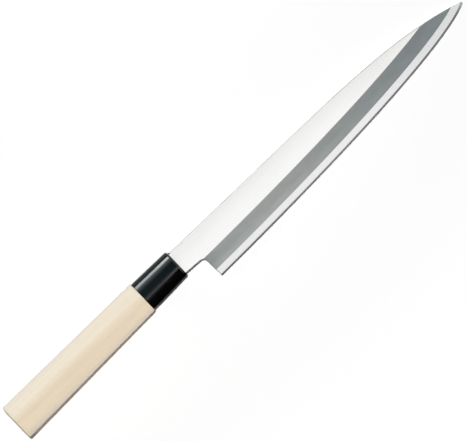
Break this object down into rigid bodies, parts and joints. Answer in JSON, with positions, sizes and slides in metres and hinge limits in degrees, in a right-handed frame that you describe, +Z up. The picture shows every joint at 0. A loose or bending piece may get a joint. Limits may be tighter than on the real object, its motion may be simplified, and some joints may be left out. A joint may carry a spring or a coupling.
{
  "type": "yanagiba knife",
  "caption": "Long single-bevel slicing knife: a two-layer steel blade with a hollow-ground back, its tang set in a chestnut-section wooden handle with a black ferrule.",
  "frame": {"origin": "on the table that the knife lies on, below the middle of its length and width", "axes": "+X towards the tip, +Y towards the spine, +Z up, on the bevelled side"},
  "size_m": [0.3326, 0.0308, 0.0194],
  "materials": {
    "soft_steel": "fine lengthwise brushing on the flat, matte grey haze on the bevel",
    "hard_steel": "bright, finely ground across the edge",
    "ferrule_plastic": "moulded, polished",
    "grip_wood": "bare, finely sanded",
    "resin": "dark cast resin"
  },
  "bodies": {
    "root": {"soft_steel_blade": "soft_steel", "hard_steel_edge": "hard_steel", "ferrule": "ferrule_plastic", "wooden_grip": "grip_wood", "tang_fill": "resin", "slot_seal": "resin"}
  },
  "joints": []
}
